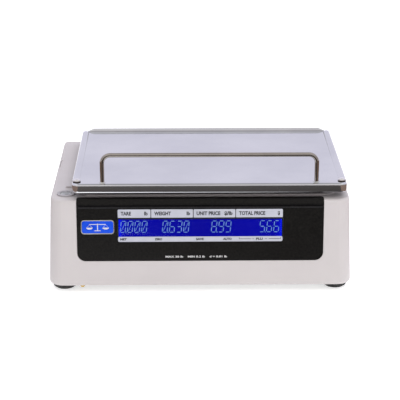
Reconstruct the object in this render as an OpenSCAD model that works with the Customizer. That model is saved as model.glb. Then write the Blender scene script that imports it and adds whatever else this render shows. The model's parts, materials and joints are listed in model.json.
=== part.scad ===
/* [Housing] */
// Width of the housing at its foot
body_w = 377; // [370:0.5:390]
// Depth of the housing at its foot
body_d = 350; // [344:1:360]
// Height of the housing's open bottom over the table
body_z = 10; // [10:0.5:12]
// Height of the flat top round the platter
top_z = 121; // [119:1:123]
// Draft of the four walls in degrees
draft = 2; // [1.5:0.25:2.5]
// Plan radius of the four vertical corners
corner_r = 18; // [16:1:22]
// Wall thickness
wall = 3; // [2.5:0.25:3.5]

/* [Operator side] */
// Depth at which the top turns down into the operator's slope
ridge_y = 91; // [86:1:94]
// Height at which the slope meets the rear wall
slope_z = 62; // [58:1:66]
// Spacing of the keys across the pad
key_pitch_x = 38; // [36:1:42]
// Spacing of the keys down the slope
key_pitch_y = 14.5; // [14:0.25:15]
// Travel of a key
key_travel = 1.2; // [0.8:0.1:1.4]

/* [Platter] */
// Width of the platter over its rims
plate_w = 338.5; // [332:0.5:342]
// Depth of the platter
plate_d = 240; // [236:1:244]
// Height of the weighing surface
plate_z = 141; // [140:0.5:142]
// Depth of the folded lip
lip_h = 12.3; // [11:0.1:13]
// Offset of the platter to the customer's right
plate_x = 11.4; // [8:0.1:14]
// Diameter of the rail's wire
wire_d = 5.5; // [5:0.1:6]
// Height of the rail's bar over the weighing surface
rail_h = 35; // [30:1:40]

/* [Front panel] */
// Half width of the black panel
panel_half = 152; // [150:0.5:153]
// Half width of the display window
window_half = 102; // [98:0.5:104]
// Radius of the panel's lower corners
panel_r = 10.6; // [8:0.1:12]

/* [Feet] */
// Diameter of a knurled foot wheel
foot_d = 29; // [26:0.5:30]
// Sideways distance of a foot from the middle
foot_x = 170; // [168:0.5:172]
// Distance of a foot from the middle, front to back
foot_y = 146; // [138:1:147]

/* [Hidden] */
$fn = 64;
eps = 0.01;
hull_fn = 32;
half_w = body_w / 2;
half_d = body_d / 2;
case_h = top_z - body_z;
lean = case_h * tan(draft);
foot_edge = 4;
top_edge = 3;
ridge_edge = 6;

// Lengths on the front face run up the drafted wall from the housing's foot
function up_face(z) = (z - body_z) / cos(draft);
function wall_in(z) = (z - body_z) * tan(draft);

// The operator's slope runs from the ridge down to the rear wall
slope_y = half_d - wall_in(slope_z);
slope_run = slope_y - ridge_y;
slope_a = atan((top_z - slope_z) / slope_run);
slope_len = slope_run / cos(slope_a);

plateau_h = 2;
plateau_half = 168;
plateau_front = -153;
plateau_back = ridge_y - 6;
plateau_r = 14;
level_notch_r = 26;
slot_w = 2.6;
slot_l = 30;
level_x = -166.3;
level_y = -145;
level_r = 11;
level_hole_r = 9.3;
level_bore_r = 8;

plate_front = -half_d + lean + 4;
plate_mid = plate_front + plate_d / 2;
plate_t = 1.5;
plate_r = 9;
back_t = 2;
back_h = 4;
back_half = plate_w / 2 - 7;
back_ramp = 8;
rim_r = 4.6;
rim_rise = 2.2;
spider_top = plate_z - plate_t - 6;
arm_x = 125;
arm_y = 85;
pad_r = 12;

post_x = 131.5;
post_y = plate_front + 6;
bend_r = 10;
wire_r = wire_d / 2;
post_foot = plate_z - 7;

panel_t = 1.5;
panel_proud = 0.3;
panel_low = up_face(43.1);
fold_z = 116.5;
crest_in = 4.5;
strip_back = 13;
strip_r = 3.5;
window_low = up_face(67.4);
window_high = up_face(110.2);
window_mid = (window_low + window_high) / 2;
window_r = 3.5;
lcd_t = 4.2;
front_board_top = -6;
rear_board_top = -5.6;
front_board_w = 272;
front_board_h = 62;
display_post_x = 126;
display_post_y = window_mid - 2;
nameplate_w = 41;
nameplate_h = 18;
nameplate_t = 1.2;
nameplate_x = -126.4;
nameplate_y = up_face(87.4);

boss_x = 145;
boss_y = 150;
boss_r = 5;
boss_h = 30;
boss_bore_r = 1.7;
foot_boss_r = 8;
foot_boss_h = 22;
seal_x = -147.1;
seal_y = -half_d + 11.6;
seal_r = 2.9;
seal_drop = 4.8;

tray_gap = 7.4;
tray_z = body_z + 0.5;
tray_t = 4;
tray_top = tray_z + tray_t;

cell_l = 130;
cell_w = 30;
cell_h = 22;
cell_z = 70;
hub_x = plate_x;
cell_x = hub_x - 50;
hub_hole_r = 24;
bolt_gap = 10;
stop_shelf_h = 42;

board_t = 1.6;
board_x = -95;
board_y = 68;
board_w = 130;
board_d = 90;
board_z = 26;
board_hole_in = 5;
battery_x = 86;
battery_y = 70;
battery_w = 100;
battery_d = 70;
battery_h = 45;
cover_w = 112;
cover_d = 82;
cover_t = 2;
cover_hole_in = 2.6;

rear_window_half = 102;
rear_window_h = 22;
rear_window_mid = -slope_len / 2 + 18;
pad_mid = -slope_len / 2 + 64;
panel_rear_half = 120;
key_l = 34;
key_w = 11;
key_h = 4;
key_gap = 0.4;
key_round = 1.6;
flange_low = 2.7;
key_board_depth = flange_low + key_travel + 1 + board_t;

stud_r = 3.95;
stud_hole_r = 4;
pad_h = 2;
wheel_h = 7;

// Pocket in the right-hand wall that holds the power switch and the jack
pocket_y = 78;
pocket_z = 42;
pocket_h = 26;
pocket_l = 76;
pocket_depth = 6;
switch_y = pocket_y + 17;
jack_y = pocket_y - 18;
rocker_lean = 8;
pivot_r = 1;
pivot_half = 6;
jack_bore_r = 2.8;
jack_bore_l = 9;

FEET = [["fl", -1, -1], ["fr", 1, -1], ["bl", -1, 1], ["br", 1, 1]];
KEYS = [
    ["seven", 0, 0], ["eight", 1, 0], ["nine", 2, 0], ["tare", 3, 0],
    ["four", 0, 1], ["five", 1, 1], ["six", 2, 1], ["zero_set", 3, 1],
    ["one", 0, 2], ["two", 1, 2], ["three", 2, 2], ["plu", 3, 2],
    ["clear", 0, 3], ["zero", 1, 3], ["point", 2, 3], ["save", 3, 3]
];

// ---- Frames of the sloping faces ----

// x along the housing, y up the customer's face, z out of it
module on_front() {
    translate([0, -half_d, body_z]) rotate([90 - draft, 0, 0]) children();
}

// x along the housing, y down the operator's slope, z out of it, from the slope's middle
module on_slope() {
    translate([0, (ridge_y + slope_y) / 2, (top_z + slope_z) / 2]) rotate([-slope_a, 0, 0]) children();
}

// z out of the right-hand wall at the pocket's height, x down it, y towards the rear
module on_side(y) {
    translate([half_w - wall_in(pocket_z), y, pocket_z]) rotate([0, 90 - draft, 0]) children();
}

// The same frame, down on the pocket's floor
module in_pocket(y) {
    on_side(y) translate([0, 0, -pocket_depth]) children();
}

// ---- Shapes that repeat ----

module rounded_rect(w, d, r) {
    for (sx = [-1, 1], sy = [-1, 1]) translate([sx * (w / 2 - r), sy * (d / 2 - r)]) circle(r);
    square([w - 2 * r, d], center = true);
    square([w, d - 2 * r], center = true);
}

module rounded_block(w, d, h, r) {
    linear_extrude(h) rounded_rect(w, d, r);
}

module torus(ring_r, edge_r) {
    rotate_extrude($fn = hull_fn) translate([ring_r - edge_r, 0]) circle(edge_r, $fn = 16);
}

// The housing's convex outline, drawn in by a distance from every outer face
module case_form(inset, low_z, edge) {
    r = corner_r - inset;
    edge_r = max(edge - inset, 0.5);
    low_in = inset + wall_in(low_z + foot_edge);
    high_z = top_z - inset;
    high_in = inset + wall_in(high_z - edge_r);
    ball_r = max(ridge_edge - inset, 0.5);
    ball_x = half_w - inset - wall_in(high_z - ball_r) - ball_r;
    turn_y = ridge_y - inset * tan(slope_a / 2);
    rear_z = slope_z + inset * tan(slope_a) - inset / cos(slope_a);
    rear_in = inset + wall_in(rear_z - edge_r);
    hull() for (sx = [-1, 1]) {
        for (sy = [-1, 1])
            translate([sx * (half_w - low_in - r), sy * (half_d - low_in - r), low_z + foot_edge])
                torus(r, foot_edge);
        translate([sx * (half_w - high_in - r), -half_d + high_in + r, high_z - edge_r]) torus(r, edge_r);
        translate([sx * ball_x, turn_y - ball_r * tan(slope_a / 2), high_z - ball_r])
            sphere(ball_r, $fn = hull_fn);
        translate([sx * (half_w - rear_in - r), half_d - rear_in - r, rear_z - edge_r]) torus(r, edge_r);
    }
}

// Bent sheet that covers the front face, the fold and a strip of the top, as a side outline
module panel_profile(out, depth) {
    face_low = [-half_d + wall_in(body_z + 20), body_z + 20];
    fold = [-half_d + wall_in(fold_z), fold_z];
    crest = [-half_d + lean + crest_in, top_z];
    back = [-half_d + lean + strip_back, top_z];
    polygon([
        face_low + [-out, 0], fold + [-out, 0], crest + [-out / 2, out], back + [0, out],
        back + [0, -depth], crest + [depth / 2, -depth], fold + [depth, -depth / 3], face_low + [depth, 0]]);
}

module panel_body(out, depth, grow) {
    w = 2 * (panel_half + grow);
    strip_end = -half_d + lean + strip_back + grow;
    tall = 200;
    intersection() {
        translate([-w / 2, 0, 0]) rotate([90, 0, 90]) linear_extrude(w) panel_profile(out, depth);
        on_front() translate([0, panel_low - grow + tall / 2, -60]) rounded_block(w, tall, 80, panel_r);
        translate([0, strip_end - tall / 2, 0]) rounded_block(w, tall, tall, strip_r);
    }
}

module hex_screw(r, l, head_r, head_h) {
    cylinder(r = head_r, h = head_h, $fn = 6);
    translate([0, 0, -l]) cylinder(r = r, h = l + eps);
}

module pan_screw(r, l, head_r, head_h) {
    difference() {
        cylinder(r1 = head_r, r2 = head_r * 0.75, h = head_h);
        for (a = [0, 90]) rotate(a) translate([0, 0, head_h]) cube([head_r * 1.2, 0.8, 1.4], center = true);
    }
    translate([0, 0, -l]) cylinder(r = r, h = l + eps);
}

// ---- Housing and base ----

module plateau() {
    difference() {
        translate([0, (plateau_front + plateau_back) / 2, top_z - 1])
            rounded_block(2 * plateau_half, plateau_back - plateau_front, plateau_h + 1, plateau_r);
        translate([level_x, level_y, top_z - 2]) cylinder(r = level_notch_r, h = plateau_h + 4);
    }
}

module housing_bosses() {
    rib_l = half_d - boss_y;
    for (sx = [-1, 1], sy = [-1, 1]) translate([sx * boss_x, sy * boss_y, tray_top])
        difference() {
            union() {
                cylinder(r = boss_r, h = boss_h);
                translate([-1.5, sy > 0 ? 0 : -rib_l, 0]) cube([3, rib_l, boss_h]);
            }
            translate([0, 0, -1]) cylinder(r = boss_bore_r, h = boss_h - 5);
        }
}

// Posts that hold the display boards and the key board off the inside of the walls
module board_posts() {
    on_front() for (s = [-1, 1]) translate([s * display_post_x, display_post_y, front_board_top])
        cylinder(r = 4, h = -front_board_top - 1);
    on_slope() for (s = [-1, 1]) {
        translate([s * (rear_window_half + 7), rear_window_mid, rear_board_top])
            cylinder(r = 3.5, h = -rear_board_top - 1.5);
        translate([s * (key_pitch_x * 2 + 10), pad_mid, board_t - key_board_depth])
            cylinder(r = 3.5, h = key_board_depth - 3.2);
    }
}

module housing() {
    color("#d8d2cf") difference() {
        union() {
            difference() {
                union() {
                    case_form(0, body_z, top_edge);
                    plateau();
                }
                case_form(wall, body_z + 12, top_edge);
                translate([0, 0, body_z - 1])
                    rounded_block(body_w - 2 * tray_gap + 0.6, body_d - 2 * tray_gap + 0.6, 24,
                        corner_r - tray_gap);
            }
            intersection() {
                housing_bosses();
                case_form(0.6, body_z, top_edge);
            }
            board_posts();
            on_side(pocket_y) translate([0, 0, -pocket_depth - wall])
                rounded_block(pocket_h + 6, pocket_l + 6, pocket_depth + wall - 1, 3);
        }
        panel_body(5, panel_t - panel_proud, 0.25);
        on_front() translate([0, window_mid, -10])
            rounded_block(2 * window_half, window_high - window_low, 20, 3);
        on_slope() {
            translate([0, rear_window_mid, -10])
                rounded_block(2 * rear_window_half + 2, rear_window_h + 2, 20, 2);
            translate([0, pad_mid, -10]) rounded_block(key_pitch_x * 4 + 8, key_pitch_y * 4 + 4, 20, 2);
            translate([0, 0, -1.2]) rounded_block(2 * panel_rear_half + 0.5, slope_len - 9.5, 10, 5);
        }
        translate([hub_x, plate_mid, top_z - 10]) cylinder(r = hub_hole_r, h = 20);
        translate([level_x, level_y, top_z - 10]) cylinder(r = level_hole_r, h = 20);
        translate([-half_w + lean + 3.6, plate_front + 152, top_z - 2.4])
            rounded_block(slot_w, slot_l, 5, slot_w / 2 - eps);
        in_pocket(pocket_y) rounded_block(pocket_h, pocket_l, 20, 2);
        in_pocket(switch_y) translate([0, 0, -10]) rounded_block(13.4, 21.4, 20, 0.6);
        in_pocket(jack_y) translate([0, 0, -10]) cylinder(r = 5.6, h = 20);
    }
}

// Places of the main board's four fixing holes
module at_board_holes(z) {
    hole_x = board_w / 2 - board_hole_in;
    hole_y = board_d / 2 - board_hole_in;
    for (sx = [-1, 1], sy = [-1, 1])
        translate([board_x + sx * hole_x, board_y + sy * hole_y, z]) children();
}

module base_tray() {
    tray_w = body_w - 2 * tray_gap;
    tray_d = body_d - 2 * tray_gap;
    rim = 2.5;
    color("#9d9a97") difference() {
        union() {
            translate([0, 0, tray_z]) rounded_block(tray_w, tray_d, tray_t, corner_r - tray_gap);
            for (f = FEET) translate([f[1] * foot_x, f[2] * foot_y, tray_z])
                cylinder(r = foot_boss_r, h = foot_boss_h);
            at_board_holes(tray_z) cylinder(r = 4, h = board_z - tray_z);
            for (sy = [-1, 1]) translate([battery_x, battery_y + sy * (cover_d / 2 + 6), tray_z])
                translate([-cover_w / 2, -rim / 2, 0]) cube([cover_w, rim, 30]);
        }
        for (f = FEET) translate([f[1] * foot_x, f[2] * foot_y, 0]) cylinder(r = stud_hole_r, h = 50);
        for (sx = [-1, 1], sy = [-1, 1]) translate([sx * boss_x, sy * boss_y, 0])
            cylinder(r = 2.2, h = 30);
        at_board_holes(16) cylinder(r = 1.4, h = 20);
        translate([battery_x, battery_y, tray_z - 1]) {
            rounded_block(cover_w - 10, cover_d - 10, 10, 3);
            rounded_block(cover_w + 0.6, cover_d + 0.6, cover_t + 1.2, 4);
            for (sx = [-1, 1]) translate([sx * (cover_w / 2 - cover_hole_in), 0, 0])
                cylinder(r = 1.2, h = 8);
        }
    }
}

module housing_screws() {
    color("silver") for (sx = [-1, 1], sy = [-1, 1])
        translate([sx * boss_x, sy * boss_y, tray_z]) mirror([0, 0, 1]) pan_screw(boss_bore_r, 20, 3.4, 2.4);
}

module seal_screw() {
    color("#b58a3c") translate([seal_x, seal_y, tray_z - seal_drop]) rotate_extrude() intersection() {
        union() {
            translate([0, seal_r]) circle(seal_r);
            translate([0, seal_r]) square([seal_r, seal_drop - seal_r]);
        }
        square([seal_r, seal_drop]);
    }
}

// ---- Customer side ----

module front_panel() {
    color("#15161a") difference() {
        panel_body(panel_proud, panel_t - panel_proud, 0);
        on_front() translate([0, window_mid, -30])
            rounded_block(2 * window_half, window_high - window_low, 60, window_r);
    }
}

module front_window() {
    color("#c9d6e6", 0.5) on_front() translate([0, window_mid, panel_proud - panel_t])
        rounded_block(2 * window_half - 0.4, window_high - window_low - 0.4, panel_t - 0.1, window_r - 0.2);
}

module front_lcd() {
    color("#1420c8") on_front() translate([0, window_mid, front_board_top])
        rounded_block(2 * window_half - 2, window_high - window_low - 1, lcd_t, 1);
}

module front_board() {
    color("#1f6b3a") on_front() translate([0, display_post_y - 5, front_board_top - board_t])
        rounded_block(front_board_w, front_board_h, board_t, 2);
}

module nameplate() {
    color("#1b55a8") on_front() translate([nameplate_x, nameplate_y, panel_proud])
        rounded_block(nameplate_w, nameplate_h, nameplate_t, 4);
}

// ---- Weighing deck ----

module rim_bead(x) {
    bead_l = plate_d - 6;
    translate([x, plate_mid, plate_z + rim_rise - rim_r]) rotate([90, 0, 0])
        translate([0, 0, -bead_l / 2]) rotate_extrude() {
            intersection() {
                union() {
                    translate([0, rim_r]) circle(rim_r);
                    translate([0, bead_l - rim_r]) circle(rim_r);
                    translate([-rim_r, rim_r]) square([2 * rim_r, bead_l - 2 * rim_r]);
                }
                square([rim_r + 1, bead_l]);
            }
        }
}

module platter() {
    lip_z = plate_z - lip_h;
    color("#c4c4cc") difference() {
        union() {
            difference() {
                union() {
                    translate([plate_x, plate_mid, lip_z]) rounded_block(plate_w, plate_d, lip_h, plate_r);
                    for (s = [-1, 1]) rim_bead(plate_x + s * (plate_w / 2 - rim_r));
                }
                translate([plate_x, plate_mid, lip_z - 1])
                    rounded_block(plate_w - 2 * plate_t, plate_d - 2 * plate_t, lip_h + 1 - plate_t,
                        plate_r - plate_t);
            }
            translate([plate_x, plate_front + plate_d - 1, plate_z - 0.5]) rotate([90, 0, 0])
                linear_extrude(back_t) polygon([for (p = [[-1, 0], [-1, 1], [1, 1], [1, 0]])
                    [p[0] * (back_half - p[1] * back_ramp), p[1] * (back_h + 0.5)]]);
        }
        for (s = [-1, 1]) translate([plate_x + s * post_x, post_y, lip_z])
            cylinder(r = wire_r + 0.05, h = 20);
    }
}

module rail() {
    bar_z = plate_z + rail_h;
    bar_l = 2 * (post_x - bend_r);
    color("#b9b9c2") translate([plate_x, post_y, 0]) {
        for (s = [-1, 1]) {
            translate([s * post_x, 0, post_foot]) cylinder(r = wire_r, h = bar_z - bend_r - post_foot);
            translate([s * (post_x - bend_r), 0, bar_z - bend_r]) rotate([90, 0, s > 0 ? 0 : 180])
                rotate_extrude(angle = 90) translate([bend_r, 0]) circle(wire_r);
        }
        translate([-bar_l / 2, 0, bar_z]) rotate([0, 90, 0]) cylinder(r = wire_r, h = bar_l);
    }
}

module rail_nuts() {
    color("silver") for (s = [-1, 1]) translate([plate_x + s * post_x, post_y, post_foot + 1.5])
        difference() {
            cylinder(r = wire_r + 1.5, h = plate_z - plate_t - post_foot - 1.5);
            translate([0, 0, -1]) cylinder(r = wire_r, h = 20);
        }
}

module spider() {
    arm_t = 6;
    arm_w = 18;
    arm_l = norm([arm_x, arm_y]);
    color("#a7aaad") translate([hub_x, plate_mid, spider_top - arm_t]) difference() {
        union() {
            for (sx = [-1, 1], sy = [-1, 1]) {
                rotate(atan2(sy * arm_y, sx * arm_x)) translate([0, -arm_w / 2, 0])
                    cube([arm_l, arm_w, arm_t]);
                translate([sx * arm_x, sy * arm_y, 0]) cylinder(r = pad_r, h = arm_t);
            }
            translate([0, 0, -25]) cylinder(r = 20, h = 25 + arm_t);
        }
        for (s = [-1, 1]) translate([s * bolt_gap, 0, -30]) cylinder(r = 3.2, h = 60);
    }
}

module cushions() {
    color("#26262a") for (sx = [-1, 1], sy = [-1, 1])
        translate([hub_x + sx * arm_x, plate_mid + sy * arm_y, spider_top]) {
            cylinder(r = 9, h = 4);
            translate([0, 0, 4]) cylinder(r1 = 9, r2 = 7, h = plate_z - plate_t - spider_top - 4);
        }
}

module load_cell() {
    color("#c2c5c8") translate([cell_x, plate_mid, cell_z]) difference() {
        translate([-cell_l / 2, -cell_w / 2, 0]) cube([cell_l, cell_w, cell_h]);
        for (s = [-1, 1]) translate([s * 14, 0, cell_h / 2]) rotate([90, 0, 0])
            translate([0, 0, -cell_w]) cylinder(r = 8.5, h = 2 * cell_w);
        translate([-14, -cell_w, cell_h / 2 - 2]) cube([28, 2 * cell_w, 4]);
        for (s = [-1, 1], o = [40, 60]) translate([s * o, 0, -1]) cylinder(r = 3.1, h = cell_h + 2);
    }
}

// Bracket from the tray up to the cell's fixed end, with a low shelf under its free end
module load_pedestal() {
    fixed_x = cell_x - 50;
    color("#8f9296") translate([0, plate_mid, tray_top]) difference() {
        union() {
            translate([fixed_x - 22, -25, 0]) cube([44, 50, cell_z - tray_top]);
            translate([fixed_x - 30, -35, 0]) cube([145, 70, 6]);
            translate([fixed_x + 78, -20, 0]) cube([36, 40, stop_shelf_h]);
        }
        translate([fixed_x - 15, -30, 8]) cube([30, 60, 30]);
        for (s = [-1, 1]) translate([fixed_x + s * bolt_gap, 0, 30]) cylinder(r = 2.6, h = 60);
        translate([hub_x, 0, stop_shelf_h - 20]) cylinder(r = 3, h = 40);
    }
}

module hub_block() {
    hub_z = cell_z + cell_h;
    color("#8f9296") translate([hub_x, plate_mid, hub_z]) difference() {
        translate([-19, -cell_w / 2, 0]) cube([38, cell_w, spider_top - 31 - hub_z]);
        for (s = [-1, 1]) translate([s * bolt_gap, 0, -1]) cylinder(r = 3.2, h = 30);
    }
}

module cell_bolts() {
    color("silver") translate([0, plate_mid, 0]) {
        for (s = [-1, 1]) {
            translate([cell_x - 50 + s * bolt_gap, 0, cell_z + cell_h]) hex_screw(2.5, 40, 4.6, 4);
            translate([hub_x + s * bolt_gap, 0, spider_top]) hex_screw(3, 52, 5, 3.5);
        }
    }
}

module stop_screw() {
    color("silver") translate([hub_x, plate_mid, tray_top + stop_shelf_h]) {
        translate([0, 0, -16]) cylinder(r = 2.95, h = 16 + 9);
        translate([0, 0, 9 - eps]) cylinder(r = 5, h = 4, $fn = 6);
    }
}

// ---- Electronics ----

module main_board() {
    processor = [26, 26, 2.4];
    regulator = [18, 10, 4];
    socket = [40, 8, 9];
    color("#1f6b3a") {
        difference() {
            translate([board_x, board_y, board_z]) rounded_block(board_w, board_d, board_t, 2);
            at_board_holes(board_z - 1) cylinder(r = 1.7, h = board_t + 2);
        }
        translate([board_x, board_y, board_z + board_t - eps]) {
            translate([-40, 10, 0]) cube(processor);
            translate([5, 10, 0]) cube(regulator);
            translate([5, -30, 0]) cube(socket);
            for (i = [0:3]) translate([-45 + i * 12, -25, 0]) cylinder(r = 4, h = 11);
        }
    }
}

module board_screws() {
    color("silver") at_board_holes(board_z + board_t) pan_screw(1.4, 8, 2.8, 2);
}

module battery() {
    color("#2b2d33") translate([battery_x, battery_y, tray_z + cover_t]) {
        rounded_block(battery_w, battery_d, battery_h, 2);
        for (s = [-1, 1]) translate([40, s * 15 - 3, battery_h - eps]) cube([6, 6, 5]);
    }
}

module battery_cover() {
    color("#9d9a97") translate([battery_x, battery_y, tray_z + 0.2]) difference() {
        rounded_block(cover_w, cover_d, cover_t - 0.2, 4);
        for (sx = [-1, 1]) translate([sx * (cover_w / 2 - cover_hole_in), 0, -1]) cylinder(r = 1.4, h = 6);
    }
}

module cover_screws() {
    color("silver") for (sx = [-1, 1])
        translate([battery_x + sx * (cover_w / 2 - cover_hole_in), battery_y, tray_z + 0.2])
            mirror([0, 0, 1]) pan_screw(1.2, 3.8, 2.4, 1.6);
}

module ribbon(points, w) {
    translate([-w / 2, 0, 0]) rotate([90, 0, 90]) linear_extrude(w) polygon(points);
}

module front_ribbon() {
    color("#6c6f76") translate([-127, 0, 0])
        ribbon([[-165, 60], [-163.6, 60], [-163.6, 17], [26, 17], [26, board_z], [27.5, board_z],
            [27.5, 15.5], [-165, 15.5]], 14);
}

module rear_ribbon() {
    color("#6c6f76") translate([-70, 0, 0])
        ribbon([[109, 28], [110.5, 28], [110.5, 74], [121, 89], [119.5, 89.6], [109, 74.6]], 14);
}

module switch_bezel() {
    color("#1a1a1c") in_pocket(switch_y) difference() {
        union() {
            rounded_block(15, 23, 1.4, 1);
            translate([0, 0, -12]) rounded_block(13, 21, 12 + eps, 0.5);
        }
        translate([0, 0, -10]) rounded_block(10, 18, 14, 0.4);
        translate([-pivot_half - 0.1, 0, 0]) rotate([0, 90, 0])
            cylinder(r = pivot_r + 0.05, h = 2 * pivot_half + 0.2);
    }
}

// Rocker paddle on its pivot pin, resting on its ON side
module power_rocker() {
    half_l = 8.2;
    paddle_w = 9.2;
    color("#222226") in_pocket(switch_y) {
        translate([paddle_w / 2, 0, 0]) rotate([0, -90, 0]) rotate(rocker_lean) linear_extrude(paddle_w)
            polygon([[-1, -half_l], [2.2, -half_l], [3.6, 1.2 - half_l], [2.1, 0], [3.6, half_l - 1.2],
                [2.2, half_l], [-1, half_l], [-5.5, 2.5], [-5.5, -2.5]]);
        translate([-pivot_half, 0, 0]) rotate([0, 90, 0]) cylinder(r = pivot_r, h = 2 * pivot_half);
    }
}

module power_jack() {
    color("#1a1a1c") in_pocket(jack_y) {
        difference() {
            union() {
                cylinder(r = 7.5, h = 1.6);
                translate([0, 0, -13]) cylinder(r = 5.4, h = 13 + eps);
            }
            translate([0, 0, -jack_bore_l]) cylinder(r = jack_bore_r, h = 12);
        }
        translate([0, 0, -jack_bore_l - eps]) cylinder(r = 1, h = jack_bore_l);
    }
}

// ---- Level ----

module level_cup() {
    color("#3a3a3e") translate([level_x, level_y, 0]) difference() {
        union() {
            translate([0, 0, top_z]) cylinder(r = level_r, h = 1.6);
            translate([0, 0, top_z - 9]) cylinder(r = level_hole_r - 0.3, h = 9 + eps);
        }
        translate([0, 0, top_z - 7]) cylinder(r = level_bore_r, h = 12);
    }
}

module level_vial() {
    color("#cfe3c8", 0.6) translate([level_x, level_y, top_z - 7]) {
        cylinder(r = level_bore_r - 0.1, h = 7);
        translate([0, 0, 7]) cylinder(r1 = level_bore_r - 0.1, r2 = 6.5, h = 1.2);
    }
}

// ---- Operator side ----

// Middle of a key on the slope
module at_key(col, row) {
    translate([(1.5 - col) * key_pitch_x, pad_mid + (row - 1.5) * key_pitch_y, 0]) children();
}

module operator_panel() {
    color("#1b1c20") on_slope() difference() {
        translate([0, 0, -1.2]) rounded_block(2 * panel_rear_half, slope_len - 10, panel_t, 5);
        translate([0, rear_window_mid, -3]) rounded_block(2 * rear_window_half, rear_window_h, 8, 2.5);
        for (k = KEYS) at_key(k[1], k[2]) translate([0, 0, -3])
            rounded_block(key_l + 2 * key_gap, key_w + 2 * key_gap, 8, key_round + key_gap);
    }
}

// Cap with a wider flange that stays behind the panel
module key_cap(col, row) {
    number_key = col < 3 && row < 3;
    color(number_key ? "#d9d9d6" : "#3c6ea8") on_slope() at_key(col, row) {
        translate([0, 0, -2]) rounded_block(key_l, key_w, key_h + 1, key_round);
        translate([0, 0, -flange_low])
            rounded_block(key_l + key_round, key_w + key_round, 1.2, key_round);
    }
}

module key_board() {
    color("#1f6b3a") on_slope() translate([0, pad_mid, -key_board_depth])
        rounded_block(key_pitch_x * 4 + 28, key_pitch_y * 4 - 1, board_t, 2);
}

module rear_window() {
    color("#c9d6e6", 0.5) on_slope() translate([0, rear_window_mid, -1.2])
        rounded_block(2 * rear_window_half - 0.4, rear_window_h - 0.4, panel_t - 0.1, 2.3);
}

module rear_lcd() {
    color("#1420c8") on_slope() translate([0, rear_window_mid, rear_board_top])
        rounded_block(2 * rear_window_half - 4, rear_window_h - 3, lcd_t, 1);
}

module rear_board() {
    color("#1f6b3a") on_slope() translate([0, rear_window_mid, rear_board_top - board_t])
        rounded_block(2 * rear_window_half + 24, rear_window_h + 2, board_t, 2);
}

// ---- Levelling feet ----

module foot_wheel(sx, sy) {
    flutes = 24;
    flute_r = 1.4;
    color("#17171a") translate([sx * foot_x, sy * foot_y, pad_h]) {
        difference() {
            cylinder(r = foot_d / 2, h = wheel_h);
            for (i = [0:flutes - 1]) rotate(i * 360 / flutes) translate([foot_d / 2 + 0.6, 0, -1])
                cylinder(r = flute_r, h = wheel_h + 2);
        }
        translate([0, 0, wheel_h - eps]) cylinder(r = stud_r, h = 20);
    }
}

module foot_pad(sx, sy) {
    color("#2c2c30") translate([sx * foot_x, sy * foot_y, 0]) cylinder(r = foot_d / 2 - 3, h = pad_h);
}

housing();
base_tray();
front_panel();
front_window();
front_lcd();
front_board();
nameplate();
platter();
rail();
rail_nuts();
spider();
cushions();
load_cell();
load_pedestal();
hub_block();
cell_bolts();
stop_screw();
main_board();
board_screws();
battery();
battery_cover();
cover_screws();
switch_bezel();
power_rocker();
power_jack();
level_cup();
level_vial();
operator_panel();
key_board();
rear_window();
rear_lcd();
rear_board();
housing_screws();
seal_screw();
front_ribbon();
rear_ribbon();
for (f = FEET) {
    foot_wheel(f[1], f[2]);
    foot_pad(f[1], f[2]);
}
for (k = KEYS)
    key_cap(k[1], k[2]);
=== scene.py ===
import json
import math

import bmesh
import bpy
from mathutils import Matrix, Vector


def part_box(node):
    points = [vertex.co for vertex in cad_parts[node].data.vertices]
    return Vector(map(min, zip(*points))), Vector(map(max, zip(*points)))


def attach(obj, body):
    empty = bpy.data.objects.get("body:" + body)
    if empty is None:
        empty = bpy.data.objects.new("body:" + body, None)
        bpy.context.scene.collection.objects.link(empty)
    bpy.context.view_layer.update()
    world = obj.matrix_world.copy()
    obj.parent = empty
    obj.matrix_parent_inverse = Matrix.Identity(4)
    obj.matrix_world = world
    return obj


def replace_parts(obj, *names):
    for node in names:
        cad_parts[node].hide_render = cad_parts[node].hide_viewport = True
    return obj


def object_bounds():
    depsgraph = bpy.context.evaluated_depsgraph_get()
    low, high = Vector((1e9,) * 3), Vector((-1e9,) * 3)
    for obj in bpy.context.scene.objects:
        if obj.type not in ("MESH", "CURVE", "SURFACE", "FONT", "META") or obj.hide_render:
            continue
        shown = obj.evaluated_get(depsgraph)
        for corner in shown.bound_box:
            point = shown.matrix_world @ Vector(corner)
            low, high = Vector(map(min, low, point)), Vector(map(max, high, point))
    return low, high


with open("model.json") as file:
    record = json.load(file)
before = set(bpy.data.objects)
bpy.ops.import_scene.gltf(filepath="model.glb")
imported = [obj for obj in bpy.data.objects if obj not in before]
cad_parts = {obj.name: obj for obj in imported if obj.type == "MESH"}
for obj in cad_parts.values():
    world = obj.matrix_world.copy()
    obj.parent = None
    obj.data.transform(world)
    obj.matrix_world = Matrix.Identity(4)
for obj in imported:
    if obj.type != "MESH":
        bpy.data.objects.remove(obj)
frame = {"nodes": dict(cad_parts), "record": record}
cad_low, cad_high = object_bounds()

MM = 0.001
DECK_Z = 141 * MM
NOSE_SHADE = 4 * MM
WALL_LEAN = math.radians(2)
LENS_T = 1.4 * MM
# Height of the font's capitals as a share of its size
CAPITAL_SHARE = 0.7
SIDES = ((-1, "left"), (1, "right"))
joints = {j["name"]: j for j in frame["record"]["behaviour"]["joints"]}
scene = bpy.context.scene


# ---- Materials ----

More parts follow.
